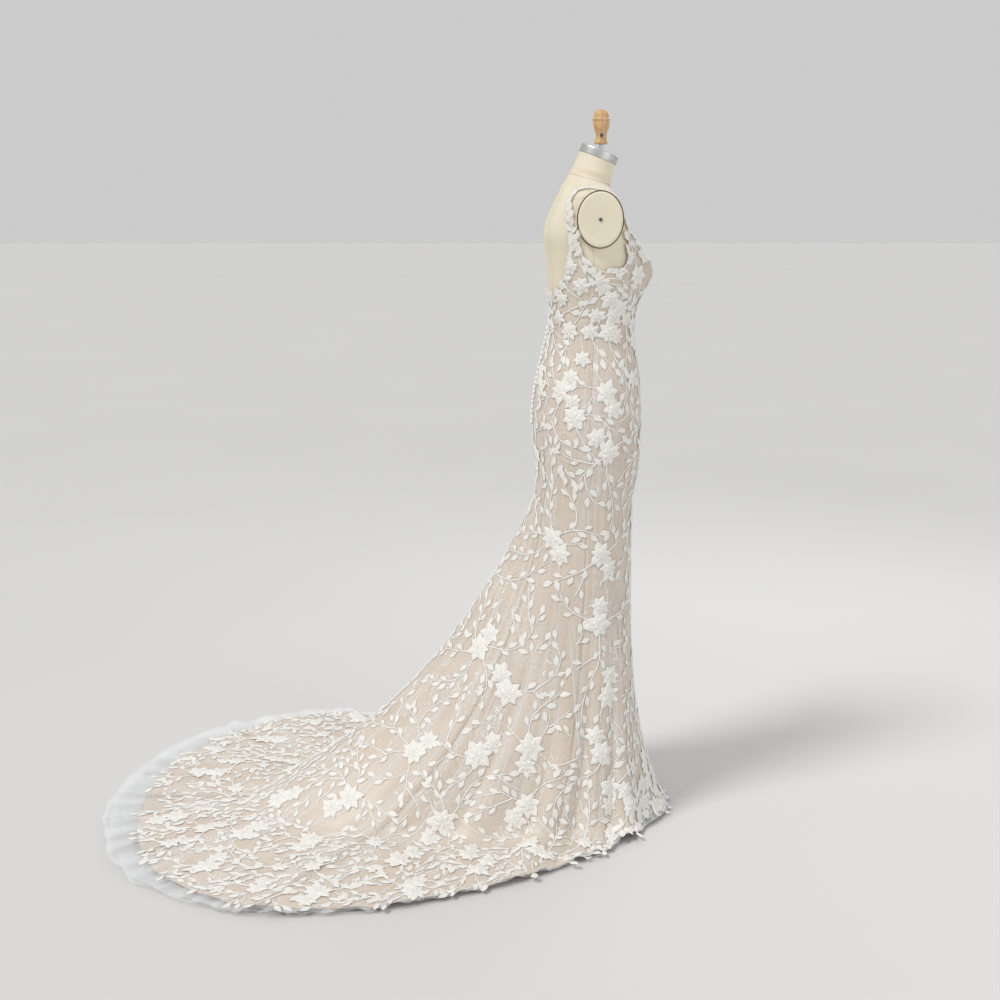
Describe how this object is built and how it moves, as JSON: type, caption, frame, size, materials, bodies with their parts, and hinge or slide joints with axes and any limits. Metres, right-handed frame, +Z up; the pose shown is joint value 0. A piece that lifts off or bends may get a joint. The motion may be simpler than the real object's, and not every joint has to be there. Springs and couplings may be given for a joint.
{
  "type": "mermaid gown on dress form",
  "caption": "Strapped V-neck lace mermaid gown with a low back, covered buttons and a long train, on a limbless dress form with a pole and flat base.",
  "frame": {"origin": "on the floor, at the middle of the base's underside, on the pole's axis", "axes": "+Z up the pole, -Y the way the gown faces, +Y the way its train runs, +X the wearer's left"},
  "size_m": [1.3644, 1.476, 1.78],
  "materials": {
    "lace_over_satin": "ivory lace and tulle over champagne satin",
    "tulle": "sheer white net",
    "ivory_thread": "ivory corded lace and covered buttons",
    "form_cover": "cream linen, plain weave",
    "brushed_metal": "brushed, satin",
    "stand_metal": "black, satin",
    "finial_wood": "light turned wood, varnished"
  },
  "bodies": {
    "root": {"form_torso": "form_cover", "form_arm_plate_left": "form_cover", "form_arm_plate_right": "form_cover", "form_arm_screw_left": "brushed_metal", "form_arm_screw_right": "brushed_metal", "form_neck_cap": "brushed_metal", "form_finial_rod": "brushed_metal", "form_finial_screw": "brushed_metal", "form_finial": "finial_wood", "form_base": "stand_metal", "form_pole": "stand_metal", "front_center": "lace_over_satin", "front_side_left": "lace_over_satin", "front_side_right": "lace_over_satin", "back_side_left": "lace_over_satin", "back_side_right": "lace_over_satin", "back_center_left": "lace_over_satin", "back_center_right": "lace_over_satin", "tulle_border_left": "tulle", "tulle_border_right": "tulle", "strap_left": "ivory_thread", "strap_right": "ivory_thread", "neckline_leaf_left": "ivory_thread", "neckline_leaf_right": "ivory_thread", "button_01": "ivory_thread", "button_02": "ivory_thread", "button_03": "ivory_thread", "button_04": "ivory_thread", "button_05": "ivory_thread", "button_06": "ivory_thread", "button_07": "ivory_thread", "button_08": "ivory_thread", "button_09": "ivory_thread", "button_10": "ivory_thread", "button_11": "ivory_thread", "button_12": "ivory_thread", "button_13": "ivory_thread", "button_14": "ivory_thread", "button_15": "ivory_thread", "button_16": "ivory_thread", "button_17": "ivory_thread", "button_18": "ivory_thread", "button_19": "ivory_thread", "button_20": "ivory_thread"}
  },
  "joints": []
}
